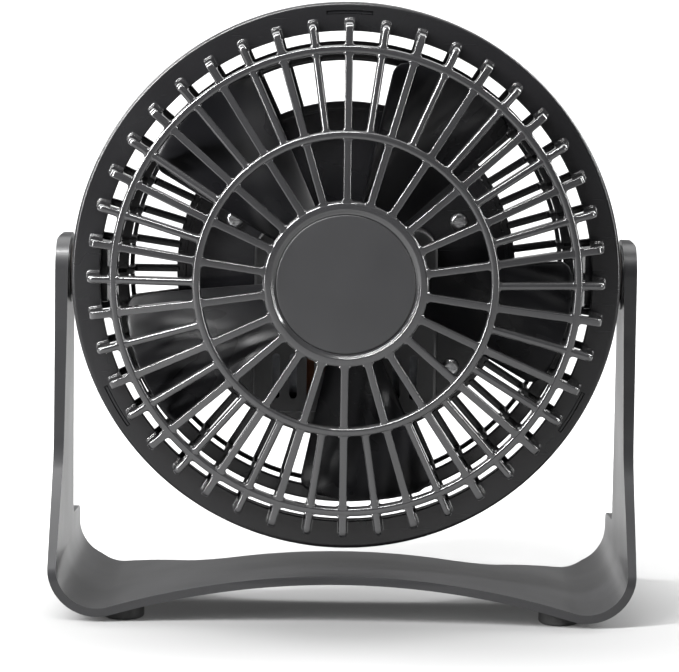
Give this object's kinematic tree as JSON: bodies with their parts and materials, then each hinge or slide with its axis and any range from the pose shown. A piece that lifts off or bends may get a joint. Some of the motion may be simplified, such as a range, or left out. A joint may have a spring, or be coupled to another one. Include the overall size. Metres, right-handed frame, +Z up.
{
  "type": "desk fan",
  "caption": "Small round-cage desk fan that tilts between the arms of a U-shaped stand, with a rear speed knob",
  "frame": {"origin": "on the floor, at the middle of the whole fan's width and depth", "axes": "+Z up, the fan blows towards -Y, tilt axis along X, fan axis along Y"},
  "size_m": [0.2144, 0.0948, 0.2255],
  "materials": {
    "cage_plastic": "satin-gloss dark grey moulded plastic",
    "badge_plastic": "fine-grained dark grey disc",
    "housing_plastic": "satin black moulded plastic",
    "cover_plastic": "spark-eroded dark grey plastic",
    "blade_plastic": "polished black plastic",
    "stand_plastic": "satin-gloss dark grey moulded plastic",
    "knob_plastic": "satin black plastic",
    "switch_plastic": "cream nylon",
    "foot_rubber": "matt black rubber",
    "washer_fibre": "dark friction washer",
    "screw_steel": "zinc-plated steel",
    "shaft_steel": "ground steel",
    "lamination_steel": "punched silicon steel stack",
    "cast_alloy": "die-cast alloy",
    "bearing_bronze": "sintered bronze",
    "copper": "bare copper",
    "winding_copper": "enamelled copper wire",
    "bobbin_nylon": "natural nylon",
    "fuse_sleeve": "glass-fibre sleeve"
  },
  "bodies": {
    "stand": {"stand": "stand_plastic", "foot_front_left": "foot_rubber", "foot_front_right": "foot_rubber", "foot_rear_left": "foot_rubber", "foot_rear_right": "foot_rubber", "pivot_cap_left": "stand_plastic", "pivot_cap_right": "stand_plastic"},
    "head": {"front_grille": "cage_plastic", "hub_badge": "badge_plastic", "rear_housing": "housing_plastic", "rear_cover": "housing_plastic", "cover_screws": "screw_steel", "motor_cover": "cover_plastic", "stator_laminations": "lamination_steel", "coil_core": "lamination_steel", "coil_bobbin": "bobbin_nylon", "coil_winding": "winding_copper", "shading_rings": "copper", "front_bracket": "cast_alloy", "rear_bracket": "cast_alloy", "front_bearing": "bearing_bronze", "rear_bearing": "bearing_bronze", "motor_screws": "screw_steel", "thermal_fuse": "fuse_sleeve", "terminal_block": "switch_plastic", "switch_body": "switch_plastic", "cord_gland": "foot_rubber", "friction_washer_left": "washer_fibre", "friction_washer_right": "washer_fibre", "pivot_keepers": "screw_steel", "pivot_screws": "screw_steel"},
    "impeller": {"fan_blade": "blade_plastic", "hub_clip": "shaft_steel", "motor_shaft": "shaft_steel", "rotor_core": "lamination_steel", "rotor_end_rings": "cast_alloy", "front_thrust_washer": "bobbin_nylon", "rear_thrust_washer": "bobbin_nylon"},
    "knob": {"speed_knob": "knob_plastic", "switch_shaft": "bobbin_nylon"}
  },
  "joints": [
    {"name": "head_tilt", "type": "hinge", "parent": "stand", "child": "head", "pos_m": [0, -0.0076, 0.125], "axis": [1, 0, 0], "range_deg": [-90, 90]},
    {"name": "impeller_spin", "type": "hinge", "parent": "head", "child": "impeller", "pos_m": [0, -0.0076, 0.125], "axis": [0, 1, 0], "continuous": true},
    {"name": "knob_turn", "type": "hinge", "parent": "head", "child": "knob", "pos_m": [0, 0.0374, 0.158], "axis": [0, 1, 0], "range_deg": [0, 90]}
  ]
}
